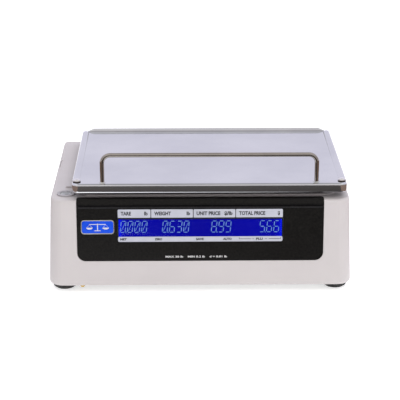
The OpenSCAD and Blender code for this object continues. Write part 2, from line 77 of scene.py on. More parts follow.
class Finish:
    """A Principled material whose noise runs over the object's own coordinates, in metres."""

    def __init__(self, name, color, rough, metal=0.0, **sockets):
        self.material = bpy.data.materials.new(name)
        self.material.use_nodes = True
        self.tree = self.material.node_tree
        self.shader = self.tree.nodes["Principled BSDF"]
        self.coords = self.tree.nodes.new("ShaderNodeTexCoord").outputs["Object"]
        self.normal = None
        self.set("Base Color", (*color, 1))
        self.set("Roughness", rough)
        self.set("Metallic", metal)
        for socket, value in sockets.items():
            self.set(socket.replace("_", " "), value)

    def set(self, socket, value):
        self.shader.inputs[socket].default_value = value

    def feed(self, socket, value):
        """Links a value to one of the shader's sockets."""
        self.tree.links.new(value, self.shader.inputs[socket])

    def stretched(self, stretch):
        mapping = self.tree.nodes.new("ShaderNodeMapping")
        mapping.inputs["Scale"].default_value = stretch
        self.tree.links.new(self.coords, mapping.inputs["Vector"])
        return mapping.outputs["Vector"]

    def noise(self, scale, detail=3.0, stretch=None):
        node = self.tree.nodes.new("ShaderNodeTexNoise")
        node.inputs["Scale"].default_value = scale
        node.inputs["Detail"].default_value = detail
        node.inputs["Roughness"].default_value = 0.55
        source = self.stretched(stretch) if stretch else self.coords
        self.tree.links.new(source, node.inputs["Vector"])
        return node.outputs["Fac"]

    def along(self, axis, low, high, mirrored=False):
        """How far a point lies from low to high along an axis, from 0 to 1."""
        split = self.tree.nodes.new("ShaderNodeSeparateXYZ")
        self.tree.links.new(self.coords, split.inputs["Vector"])
        value = split.outputs[axis]
        if mirrored:
            size = self.tree.nodes.new("ShaderNodeMath")
            size.operation = "ABSOLUTE"
            self.tree.links.new(value, size.inputs[0])
            value = size.outputs["Value"]
        span = self.tree.nodes.new("ShaderNodeMapRange")
        span.inputs["From Min"].default_value = low
        span.inputs["From Max"].default_value = high
        self.tree.links.new(value, span.inputs["Value"])
        return span.outputs["Result"]

    def ramp(self, value, stops):
        node = self.tree.nodes.new("ShaderNodeValToRGB")
        marks = node.color_ramp.elements
        while len(marks) < len(stops):
            marks.new(0.5)
        for mark, (place, color) in zip(marks, stops):
            mark.position = place
            mark.color = (*color, 1)
        self.tree.links.new(value, node.inputs["Fac"])
        return node.outputs["Color"]

    def mottle(self, color_a, color_b, scale, detail=3.0, stretch=None, low=0.35, high=0.65):
        """Mixes two base colours in patches of noise."""
        value = self.noise(scale, detail, stretch)
        self.feed("Base Color", self.ramp(value, [(low, color_a), (high, color_b)]))
        return self

    def worn(self, low, high, scale, detail=4.0):
        """Lets the roughness wander between two values."""
        node = self.tree.nodes.new("ShaderNodeMapRange")
        node.inputs["From Min"].default_value = 0.3
        node.inputs["From Max"].default_value = 0.7
        node.inputs["To Min"].default_value = low
        node.inputs["To Max"].default_value = high
        self.tree.links.new(self.noise(scale, detail), node.inputs["Value"])
        self.feed("Roughness", node.outputs["Result"])
        return self

    def bump(self, scale, distance, strength=0.5, detail=2.0, stretch=None):
        """Adds relief, on top of any that is there already."""
        node = self.tree.nodes.new("ShaderNodeBump")
        node.inputs["Strength"].default_value = strength
        node.inputs["Distance"].default_value = distance
        self.tree.links.new(self.noise(scale, detail, stretch), node.inputs["Height"])
        if self.normal:
            self.tree.links.new(self.normal, node.inputs["Normal"])
        self.normal = node.outputs["Normal"]
        self.feed("Normal", self.normal)
        return self


def moulded_plastic(name, light, dark, rough, grain=2600):
    finish = Finish(name, light, rough)
    finish.mottle(dark, light, 14, 5)
    finish.worn(rough - 0.06, rough + 0.08, 30)
    finish.bump(grain, 0.00006, 0.35)
    return finish.bump(320, 0.00008, 0.12)


def metal(name, color, dark, rough, brush=None, grain=0.00003):
    finish = Finish(name, color, rough, 1.0)
    finish.mottle(dark, color, 20, 4)
    finish.worn(rough * 0.7, rough * 1.5, 45, 5)
    return finish.bump(900, grain, 0.4, 3, brush)


housing_mat = moulded_plastic("housing_plastic", (0.555, 0.525, 0.525), (0.53, 0.50, 0.503), 0.46)
tray_mat = moulded_plastic("tray_plastic", (0.20, 0.195, 0.19), (0.17, 0.165, 0.16), 0.55)
cover_mat = moulded_plastic("cover_plastic", (0.23, 0.225, 0.22), (0.2, 0.195, 0.19), 0.5)
black_mat = moulded_plastic("black_plastic", (0.022, 0.022, 0.024), (0.016, 0.016, 0.018), 0.38)
level_mat = moulded_plastic("level_plastic", (0.42, 0.40, 0.42), (0.34, 0.33, 0.35), 0.4)

panel_mat = Finish("panel_film", (0.009, 0.0085, 0.008), 0.36, Specular_IOR_Level=0.12)
panel_mat.mottle((0.0035, 0.0035, 0.0036), (0.0125, 0.0115, 0.0105), 420, 6, low=0.3, high=0.72)
panel_mat.worn(0.32, 0.46, 60)
panel_mat.bump(1900, 0.00007, 0.6, 3)

platter_mat = Finish("polished_steel", (0.70, 0.70, 0.735), 0.1, 1.0)
platter_mat.mottle((0.62, 0.63, 0.67), (0.71, 0.72, 0.75), 9, 4)
platter_mat.worn(0.055, 0.13, 26, 6)
platter_mat.bump(700, 0.00001, 0.25, 4, (0.04, 1, 1))
platter_mat.bump(60, 0.00004, 0.1, 3)

# The nose's colour is painted by height: a dark foot of painted shade and reflection of dark surroundings,
# and a bright top of painted highlight
nose_painted_light_mat = Finish("polished_nose_painted_shade_and_highlight", (0.66, 0.64, 0.65), 0.05, 1.0)
nose_painted_light_mat.feed("Base Color", nose_painted_light_mat.ramp(nose_painted_light_mat.along("Z", DECK_Z, DECK_Z + NOSE_SHADE), [
    (0.0, (0.06, 0.05, 0.04)), (0.2, (0.04, 0.03, 0.025)), (0.42, (0.5, 0.48, 0.48)),
    (0.65, (0.8, 0.78, 0.79))]))
nose_painted_light_mat.worn(0.035, 0.08, 90)

rail_mat = metal("rail_chrome", (0.43, 0.395, 0.36), (0.37, 0.34, 0.315), 0.1, (1, 1, 0.2), 0.00001)
plated_mat = metal("plated_steel", (0.66, 0.66, 0.65), (0.5, 0.5, 0.5), 0.28)
cast_mat = metal("cast_alloy", (0.44, 0.45, 0.46), (0.34, 0.35, 0.36), 0.5, grain=0.0001)
alloy_mat = metal("machined_alloy", (0.66, 0.67, 0.69), (0.58, 0.59, 0.6), 0.26, (1, 0.05, 1))
brass_mat = metal("dull_brass", (0.62, 0.43, 0.13), (0.42, 0.28, 0.09), 0.3, grain=0.00006)

rubber_mat = Finish("black_rubber", (0.02, 0.02, 0.021), 0.75)
rubber_mat.mottle((0.014, 0.014, 0.015), (0.032, 0.031, 0.03), 120, 5)
rubber_mat.bump(1400, 0.0001, 0.6, 4)

foot_mat = Finish("foot_plastic", (0.016, 0.016, 0.017), 0.5)
foot_mat.mottle((0.01, 0.01, 0.011), (0.03, 0.03, 0.03), 90, 5)
foot_mat.worn(0.4, 0.65, 110)
foot_mat.bump(1700, 0.00008, 0.5)

board_mat = Finish("circuit_board", (0.02, 0.13, 0.05), 0.35)
board_mat.mottle((0.012, 0.1, 0.035), (0.03, 0.17, 0.07), 260, 2, low=0.46, high=0.54)
board_mat.bump(500, 0.00008, 0.4)

battery_mat = moulded_plastic("battery_case", (0.035, 0.037, 0.045), (0.025, 0.027, 0.033), 0.5)
ribbon_mat = Finish("ribbon_cable", (0.25, 0.26, 0.29), 0.5)
ribbon_mat.mottle((0.16, 0.17, 0.2), (0.3, 0.31, 0.34), 800, 0, (1, 0.001, 0.001), 0.45, 0.55)

strip_mat = Finish("printed_strip", (0.46, 0.475, 0.54), 0.35, Specular_IOR_Level=0.2)
strip_mat.mottle((0.44, 0.455, 0.52), (0.475, 0.49, 0.555), 60, 3)
strip_mat.bump(1500, 0.00003, 0.3)
ink_mat = Finish("dark_ink", (0.012, 0.012, 0.016), 0.5)
ink_mat.mottle((0.01, 0.01, 0.013), (0.03, 0.03, 0.036), 900, 2)
white_ink_mat = Finish("pale_ink", (0.62, 0.62, 0.62), 0.5)
white_ink_mat.mottle((0.52, 0.52, 0.52), (0.68, 0.68, 0.68), 900, 2)

enamel_mat = Finish("blue_enamel", (0.008, 0.07, 0.62), 0.22, Specular_IOR_Level=0.15)
enamel_mat.mottle((0.005, 0.055, 0.58), (0.01, 0.08, 0.68), 90, 3)
enamel_mat.bump(700, 0.00003, 0.2)

key_light_mat = moulded_plastic("key_light", (0.60, 0.595, 0.57), (0.53, 0.525, 0.5), 0.4, 3000)
key_blue_mat = moulded_plastic("key_blue", (0.03, 0.10, 0.33), (0.022, 0.08, 0.27), 0.4, 3000)

lens_mat = Finish("clear_lens", (0.01, 0.01, 0.03), 0.06, Alpha=0.12)
lens_mat.worn(0.04, 0.12, 40)
vial_mat = Finish("vial_lens", (0.78, 0.80, 0.82), 0.05, Alpha=0.28)
vial_mat.worn(0.03, 0.1, 200)
liquid_mat = Finish("vial_liquid", (0.42, 0.42, 0.44), 0.12)
liquid_mat.mottle((0.36, 0.36, 0.39), (0.50, 0.50, 0.52), 130, 3)
bubble_mat = Finish("air_bubble", (0.05, 0.05, 0.055), 0.08)
bubble_mat.mottle((0.035, 0.035, 0.04), (0.09, 0.09, 0.095), 260, 2)

digit_mat = Finish("lit_segments", (0.02, 0.04, 0.1), 0.6, Emission_Strength=0.9, Specular_IOR_Level=0.05)
digit_mat.feed("Emission Color", digit_mat.ramp(digit_mat.noise(500, 2), [
    (0.4, (0.14, 0.31, 0.66)), (0.6, (0.23, 0.42, 0.8))]))


def backlight(name, half_w):
    """Blue backlit glass that is brighter towards the lamps at its two ends."""
    finish = Finish(name, (0.0, 0.0, 0.05), 0.4, Emission_Strength=1.0, Specular_IOR_Level=0.03)
    away = finish.along("X", 0.0, half_w, mirrored=True)
    uneven = finish.tree.nodes.new("ShaderNodeMath")
    uneven.operation = "MULTIPLY_ADD"
    uneven.inputs[1].default_value = 0.06
    finish.tree.links.new(finish.noise(25, 2), uneven.inputs[0])
    finish.tree.links.new(away, uneven.inputs[2])
    glow = finish.ramp(uneven.outputs["Value"], [
        (0.0, (0.0, 0.0, 0.34)), (0.93, (0.0, 0.001, 0.42)), (0.985, (0.0, 0.003, 0.6)),
        (1.0, (0.0, 0.01, 0.95))])
    finish.feed("Emission Color", glow)
    return finish


# ---- Mesh helpers ----

def place(name, bm, finish, body, slot, smooth=35):
    """Turns a bmesh into a piece that rides on a body. Edges sharper than the angle stay crisp."""
    mesh = bpy.data.meshes.new(name)
    bmesh.ops.recalc_face_normals(bm, faces=bm.faces)
    bm.to_mesh(mesh)
    bm.free()
    mesh.materials.append(finish.material)
    mesh.shade_smooth()
    mesh.set_sharp_from_angle(angle=math.radians(smooth))
    piece = bpy.data.objects.new(name, mesh)
    scene.collection.objects.link(piece)
    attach(piece, body)
    return piece


def rounded_outline(w, h, r, steps=8):
    """Points of a rectangle with round corners, about the origin."""
    points = []
    for corner, (sx, sy) in enumerate([(1, 1), (-1, 1), (-1, -1), (1, -1)]):
        for i in range(steps + 1):
            turn = math.radians(90 * (corner + i / steps))
            points.append((sx * (w / 2 - r) + r * math.cos(turn), sy * (h / 2 - r) + r * math.sin(turn)))
    return points


def ring(bm, points, z, matrix):
    return [bm.verts.new(matrix @ Vector((x, y, z))) for x, y in points]


def bridge(bm, ring_a, ring_b):
    count = len(ring_a)
    for i in range(count):
        bm.faces.new((ring_a[i], ring_a[(i + 1) % count], ring_b[(i + 1) % count], ring_b[i]))


def loft(bm, rings):
    """Joins rings into a skin and closes it at both ends."""
    for ring_a, ring_b in zip(rings, rings[1:]):
        bridge(bm, ring_a, ring_b)
    bm.faces.new(rings[0])
    bm.faces.new(rings[-1])


def soft_block(bm, w, h, r, low, high, edge, matrix, steps=8, edge_steps=3):
    """A block with round corners and a rounded top edge."""
    levels = [(0.0, low)]
    for i in range(edge_steps + 1):
        turn = math.radians(90 * i / edge_steps)
        levels.append((edge * (1 - math.cos(turn)), high - edge + edge * math.sin(turn)))
    rings = []
    for inset, z in levels:
        outline = rounded_outline(w - 2 * inset, h - 2 * inset, max(r - inset, r * 0.2), steps)
        rings.append(ring(bm, outline, z, matrix))
    loft(bm, rings)


def prism(bm, points, low, high, matrix):
    loft(bm, [ring(bm, points, low, matrix), ring(bm, points, high, matrix)])


def turned(bm, profile, matrix, steps):
    """Revolves (radius, height) points about the local z axis. End radii of 0 close it."""
    rings = []
    for radius, z in profile:
        if radius == 0:
            rings.append([bm.verts.new(matrix @ Vector((0, 0, z)))])
        else:
            turns = [math.tau * i / steps for i in range(steps)]
            rings.append([bm.verts.new(matrix @ Vector((radius * math.cos(t), radius * math.sin(t), z)))
                          for t in turns])
    for ring_a, ring_b in zip(rings, rings[1:]):
        if len(ring_a) == 1 or len(ring_b) == 1:
            tip, rim = (ring_a[0], ring_b) if len(ring_a) == 1 else (ring_b[0], ring_a)
            for i in range(steps):
                bm.faces.new((tip, rim[i], rim[(i + 1) % steps]))
        else:
            bridge(bm, ring_a, ring_b)
    for end in (rings[0], rings[-1]):
        if len(end) > 1:
            bm.faces.new(end)


def tube(bm, path, radius, steps=24):
    """Sweeps a circle along a path that lies in a plane of constant y."""
    rings = []
    for i, point in enumerate(path):
        ahead = path[min(i + 1, len(path) - 1)] - path[max(i - 1, 0)]
        ahead.normalize()
        side = Vector((0, 1, 0))
        up = ahead.cross(side)
        rings.append([bm.verts.new(point + radius * (math.cos(t) * side + math.sin(t) * up))
                      for t in (math.tau * k / steps for k in range(steps))])
    loft(bm, rings)


def lettering(bm, text, height, x, y, z, matrix, width=None, align="LEFT", depth=0.06 * MM, weight=0.03):
    """Adds text as a thin raised print. A width stretches it to fit, and weight thickens its strokes."""
    curve = bpy.data.curves.new("print", "FONT")
    curve.body = text
    curve.size = height / CAPITAL_SHARE
    curve.offset = weight * curve.size
    curve.extrude = depth / 2
    curve.resolution_u = 3
    carrier = bpy.data.objects.new("print", curve)
    scene.collection.objects.link(carrier)
    bpy.context.view_layer.update()
    mesh = carrier.evaluated_get(bpy.context.evaluated_depsgraph_get()).to_mesh()
    xs = [v.co.x for v in mesh.vertices]
    span = max(xs) - min(xs)
    stretch = width / span if width else 1.0
    start = {"LEFT": 0.0, "CENTER": -span * stretch / 2, "RIGHT": -span * stretch}[align]
    move = matrix @ Matrix.Translation((x + start - min(xs) * stretch, y, z + depth / 2)) \
        @ Matrix.Diagonal((stretch, 1, 1, 1))
    mesh.transform(move)
    bm.from_mesh(mesh)
    bpy.data.objects.remove(carrier)
    bpy.data.curves.remove(curve)


def size_of(node):
    low, high = (Vector(corner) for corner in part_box(node))
    return low, high, (low + high) / 2


def dress(node, finish, bevel=0.0):
    """Gives a CAD node its finish, and its edges a slight rounding where a bevel is given."""
    obj = frame["nodes"][node]
    materials = obj.data.materials
    if not materials:
        materials.append(finish.material)
    for i in range(len(materials)):
        materials[i] = finish.material
    if bevel:
        weld = obj.modifiers.new("weld", "WELD")
        weld.merge_threshold = 0.01 * MM
        rounding = obj.modifiers.new("edges", "BEVEL")
        rounding.width = bevel
        rounding.segments = 2
        rounding.limit_method = "ANGLE"
        rounding.angle_limit = math.radians(40)
        rounding.harden_normals = False


# ---- Places and frames, worked out from the CAD model ----

plate_low, plate_high, plate_mid = size_of("platter")

window_low, window_high, window_mid = size_of("front_window")
front_frame = Matrix.Translation(window_mid) @ Matrix.Rotation(math.radians(90) - WALL_LEAN, 4, "X")
window_w = window_high.x - window_low.x
window_h = (window_high.z - window_low.z - LENS_T * math.sin(WALL_LEAN)) / math.cos(WALL_LEAN)

press = Vector(joints["key_five_press"]["axis"])
slope_a = math.atan2(-press.y, -press.z)
rear_low, rear_high, rear_mid = size_of("rear_window")
# The rear frame faces the operator: x to the operator's right, y up the slope, z out of it
on_slope = Matrix.Rotation(-slope_a, 4, "X") @ Matrix.Rotation(math.pi, 4, "Z")
rear_frame = Matrix.Translation(rear_mid) @ on_slope
rear_w = rear_high.x - rear_low.x
rear_h = (rear_high.y - rear_low.y - LENS_T * math.sin(slope_a)) / math.cos(slope_a)


# ---- Carried-over CAD parts ----

CORNERS = ("fl", "fr", "bl", "br")
# A finish, how far edges are rounded in mm, and the nodes that get them
FINISHES = [
    (housing_mat, 0, ["housing"]),
    (tray_mat, 0, ["base_tray"]),
    (cover_mat, 0.3, ["battery_cover"]),
    (panel_mat, 0, ["front_panel", "operator_panel"]),
    (cast_mat, 0.8, ["spider", "load_pedestal"]),
    (alloy_mat, 0.4, ["load_cell", "hub_block"]),
    (plated_mat, 0.3, ["cell_bolts", "stop_screw"]),
    (plated_mat, 0.2, ["rail_nuts"]),
    (plated_mat, 0, ["board_screws", "cover_screws", "housing_screws"]),
    (board_mat, 0, ["main_board", "front_board", "rear_board", "key_board"]),
    (battery_mat, 0.6, ["battery"]),
    (black_mat, 0.3, ["switch_bezel", "power_rocker", "power_jack"]),
    (level_mat, 0.3, ["level_cup"]),
    (ribbon_mat, 0, ["front_ribbon", "rear_ribbon"]),
    (rubber_mat, 0.5, ["cushions"] + ["foot_pad_" + corner for corner in CORNERS]),
    (foot_mat, 0.4, ["foot_wheel_" + corner for corner in CORNERS]),
]
for finish, bevel, nodes in FINISHES:
    for node in nodes:
        dress(node, finish, bevel * MM)


# ---- Seal screw ----

def seal_screw():
    """Brass screw under the front edge with a domed head that hangs a little lower than the CAD one."""
    low, high, middle = size_of("seal_screw")
    radius = (high.x - low.x) / 2
    crown, hang = 1.2 * MM, 0.9 * MM
    bm = bmesh.new()
    profile = [(0, high.z), (radius, high.z), (radius, low.z + crown)]
    for i in range(1, 7):
        turn = math.radians(15 * i)
        z = low.z + crown - (crown + hang) * math.sin(turn)
        profile.append((radius * math.cos(turn) if i < 6 else 0, z))
    turned(bm, profile, Matrix.Translation((middle.x, middle.y, 0)), 32)
    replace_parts(place("seal_dome", bm, brass_mat, "base", "brass", 50), "seal_screw")


seal_screw()


# ---- Strip in the slot of the left top edge ----

def slot_strip():
    """Liner lying in the housing's short slot, which leaves a thin dark joint round it."""
    housing_low, _, _ = size_of("housing")
    wall_rise = 111 * MM
    slot_in, slot_back = 3.75 * MM, 152 * MM
    liner_w, liner_l, liner_r, round_edge = 2.0 * MM, 29.2 * MM, 0.9 * MM, 0.3 * MM
    liner_low, liner_top = 118.7 * MM, 120.5 * MM
    middle_x = housing_low.x + wall_rise * math.tan(WALL_LEAN) + slot_in
    bm = bmesh.new()
    matrix = Matrix.Translation((middle_x, plate_low.y + slot_back, 0))
    soft_block(bm, liner_w, liner_l, liner_r, liner_low, liner_top, round_edge, matrix, 4)
    place("slot_liner", bm, housing_mat, "base", "housing")


slot_strip()


# ---- Platter ----

RIM_RISE = 2.2 * MM
PLATE_R = 9 * MM
RIM_IN = 5 * MM
plate_w = plate_high.x - plate_low.x
plate_d = plate_high.y - plate_low.y


def platter_sheet():
    """The deck with its chamfered edge, round shoulder and rolled hem, open underneath."""
    deck, lip = DECK_Z / MM, plate_low.z / MM
    chamfer_a = math.radians(38)
    chamfer_foot, shoulder_r, roll_r, sheet_t = 1.35, 2.2, 2.6, 1.5
    # Inset from the outline and height in mm: deck, fall, chamfer, round shoulder, rolled hem, inside
    profile = [(14, deck), (4.6, deck), (4.3, deck - 0.02), (2.6, deck - 0.3), (2.3, deck - 0.4),
               (1.2, deck - 1.22)]
    for i in range(7):
        turn = chamfer_a + (math.pi / 2 - chamfer_a) * i / 6
        drop = shoulder_r * (math.cos(chamfer_a) - math.cos(turn))
        profile.append((shoulder_r * (1 - math.sin(turn)), deck - chamfer_foot - drop))
    for i in range(9):
        turn = math.radians(150 * i / 8)
        profile.append((roll_r * (1 - math.cos(turn)) * 0.6, lip + roll_r * (1 - math.sin(turn))))
    profile += [(sheet_t + 0.9, lip + 2.6), (sheet_t, lip + 3.4), (sheet_t, deck - 4.4), (2.4, deck - 2.6),
                (4.6, deck - sheet_t), (14, deck - sheet_t)]
    middle = Matrix.Translation((plate_mid.x, plate_mid.y, 0))
    rings = []
    bm = bmesh.new()
    for inset, z in profile:
        cut = inset * MM
        outline = rounded_outline(plate_w - 2 * cut, plate_d - 2 * cut, max(PLATE_R - cut, 1.5 * MM), 10)
        rings.append(ring(bm, outline, z * MM, middle))
    loft(bm, rings)
    return place("platter_sheet", bm, platter_mat, "platter", "stainless", 40)


def side_bead(name, side):
    """Raised rounded rim along a side of the deck, behind its round nose."""
    half_w, sunk = 4.8 * MM, 1.2 * MM
    front, back = plate_low.y + 10.5 * MM, plate_high.y - 4 * MM
    x = plate_mid.x + side * (plate_w / 2 - RIM_IN)
    matrix = Matrix.Translation((x, (front + back) / 2, DECK_Z - sunk))
    levels = 10
    rings = []
    bm = bmesh.new()
    for i in range(levels + 1):
        turn = math.radians(87 * i / levels)
        shrink = half_w * (1 - math.cos(turn))
        half = half_w - shrink
        outline = rounded_outline(2 * half, back - front - 2 * shrink, half * 0.98, 8)
        rings.append(ring(bm, outline, (RIM_RISE + sunk) * math.sin(turn), matrix))
    loft(bm, rings)
    place(name, bm, platter_mat, "platter", "stainless", 60)


def nose(name, side):
    """Polished round end of a side rim at the front corner, with shade painted at its foot and a highlight
    painted on its top.
    """
    radius, rise, sunk, wall = 4.9 * MM, 4.1 * MM, 1.2 * MM, 0.96 * MM
    x = plate_mid.x + side * (plate_w / 2 - 6.4 * MM)
    profile = [(radius, 0.0), (radius, wall)]
    for i in range(1, 10):
        turn = math.radians(10 * i)
        profile.append((radius * math.cos(turn) ** 0.45 if i < 9 else 0, wall + rise * math.sin(turn)))
    bm = bmesh.new()
    turned(bm, profile, Matrix.Translation((x, plate_low.y + 9.4 * MM, DECK_Z - sunk)), 40)
    place(name, bm, nose_painted_light_mat, "platter", "stainless", 70)


def back_lip():
    """Upstand along the platter's back edge: upright foot, leaning face, round top and ramped ends."""
    half_t, lean, foot, sunk = 1.0 * MM, 1.9 * MM, 0.6 * MM, 0.4 * MM
    half_w = plate_w / 2 - 4 * MM
    ramp = 13 * MM
    y = plate_high.y - 3.4 * MM
    rise = plate_high.z - DECK_Z
    steps = 24
    stations = []
    for i in range(steps + 1):
        u = i / steps
        stations.append((-half_w + ramp * u, max(rise * u * u * (3 - 2 * u), 0.15 * MM)))
    stations += [(-x, height) for x, height in reversed(stations)]
    rings = []
    bm = bmesh.new()
    for x, height in stations:
        cap = min(half_t, height * 0.9)
        bend = min(foot, height * 0.3)
        points = [(-half_t, -sunk), (half_t, -sunk), (half_t, bend), (half_t, height - cap)]
        for k in range(1, 6):
            turn = math.radians(180 * k / 6)
            points.append((half_t * math.cos(turn), height - cap + cap * math.sin(turn)))
        points += [(-half_t, height - cap), (-half_t, bend)]
        rings.append([bm.verts.new((plate_mid.x + x, y + py + lean * max(0, pz - foot) / rise, DECK_Z + pz))
                      for py, pz in points])
    loft(bm, rings)
    place("platter_back_lip", bm, platter_mat, "platter", "stainless", 50)


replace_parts(platter_sheet(), "platter")
for side, word in SIDES:
    side_bead("platter_rim_" + word, side)
    nose("platter_nose_" + word, side)
back_lip()


# ---- Rail ----

rail_low, rail_high, rail_mid = size_of("rail")
wire_r = (rail_high.y - rail_low.y) / 2
post_x = (rail_high.x - rail_low.x) / 2 - wire_r


def rail_wire():
    """The bent wire: up from a nut, round a bend, across, and down again."""
    bend, bend_steps = 10 * MM, 16
    top = rail_high.z - wire_r
    straight = top - bend - 0.1 * MM
    half_path = [(-post_x, rail_low.z), (-post_x, straight)]
    for i in range(bend_steps + 1):
        turn = math.radians(90 * i / bend_steps)
        half_path.append((-post_x + bend * (1 - math.cos(turn)), top - bend + bend * math.sin(turn)))
    path = half_path + [(-x, z) for x, z in reversed(half_path)]
    bm = bmesh.new()
    tube(bm, [Vector((rail_mid.x + x, rail_mid.y, z)) for x, z in path], wire_r)
    return place("rail_wire", bm, rail_mat, "platter", "rail_wire", 50)


def rail_weld(name, side):
    """Small weld fillet round a post where it passes into the deck."""
    bm = bmesh.new()
    matrix = Matrix.Translation((rail_mid.x + side * post_x, rail_mid.y, DECK_Z))
    fillet = [(1.5, -0.2), (1.3, 0.1), (0.5, 0.45), (0.1, 1.1), (-0.3, 1.3)]
    turned(bm, [(wire_r + out * MM, z * MM) for out, z in fillet], matrix, 40)
    place(name, bm, plated_mat, "platter", "plated_steel", 60)


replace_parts(rail_wire(), "rail")
for side, word in SIDES:
    rail_weld("rail_weld_" + word, side)


# ---- Displays ----

SEGMENTS = {"0": "abcdefz", "1": "bc", "2": "abged", "3": "abgcd", "4": "fgbc", "5": "afgcd", "6": "afgedc",
            "7": "abc", "8": "abcdefg", "9": "abcdfg"}
SLANT = 0.1
LIT_T = 0.05 * MM


def segment(bm, ax, ay, bx, by, width, z, matrix):
    """One lit bar with pointed ends, slanted a little to the right."""
    along = Vector((bx - ax, by - ay))
    length = along.length
    along.normalize()
    across = Vector((-along.y, along.x)) * width / 2
    a, b = Vector((ax, ay)), Vector((bx, by))
    tip = along * min(width / 2, length / 4)
    corners = [a, a + tip + across, b - tip + across, b, b - tip - across, a + tip - across]
    prism(bm, [(p.x + SLANT * p.y, p.y) for p in corners], z, z + LIT_T, matrix)


def digit(bm, char, w, h, width, z, matrix):
    gap = width * 0.75
    mid = h / 2
    lines = {"a": (gap, h, w - gap, h), "g": (gap, mid, w - gap, mid), "d": (gap, 0, w - gap, 0),
             "f": (0, mid + gap, 0, h - gap), "b": (w, mid + gap, w, h - gap),
             "e": (0, gap, 0, mid - gap), "c": (w, gap, w, mid - gap),
             "z": (w * 0.22, h * 0.14, w * 0.8, h * 0.86)}
    for name in SEGMENTS[char]:
        segment(bm, *lines[name], width * (0.6 if name == "z" else 1), z, matrix)


def reading(bm, text, right, base, w, h, pitch, width, z, matrix):
    """A number whose last digit ends at right, with its point drawn as a small dot."""
    count = sum(char != "." for char in text)
    x = right - w - (count - 1) * pitch
    for char in text:
        if char == ".":
            dot = matrix @ Matrix.Translation((x - (pitch - w) / 2 - 0.2 * width, base, 0))
            soft_block(bm, width * 1.2, width * 1.2, width * 0.3, z, z + LIT_T, 0.01 * MM, dot, 3, 1)
        else:
            digit(bm, char, w, h, width, z, matrix @ Matrix.Translation((x, base, 0)))
            x += pitch


# Places and widths across a display, as shares of its half width
CELL_EDGES = (-1, -0.597, -0.085, 0.427, 1)
TOP_WORDS = (("TARE", 0.124, "lb", 0.042), ("WEIGHT", 0.203, "lb", 0.042),
             ("UNIT PRICE", 0.288, "$/lb", 0.099), ("TOTAL PRICE", 0.318, "$", 0.026))
LOW_WORDS = (("NET", -0.97, 0.079), ("ZERO", -0.552, 0.09), ("SAVE", -0.051, 0.093), ("AUTO", 0.276, 0.104),
             ("PLU", 0.675, 0.083))
READINGS = (("0.000", -0.655), ("0.630", -0.147), ("8.99", 0.361), ("5.66", 0.945))
# Heights of the two printed strips, as shares of the window's height
TOP_STRIP, LOW_STRIP = 0.262, 0.166


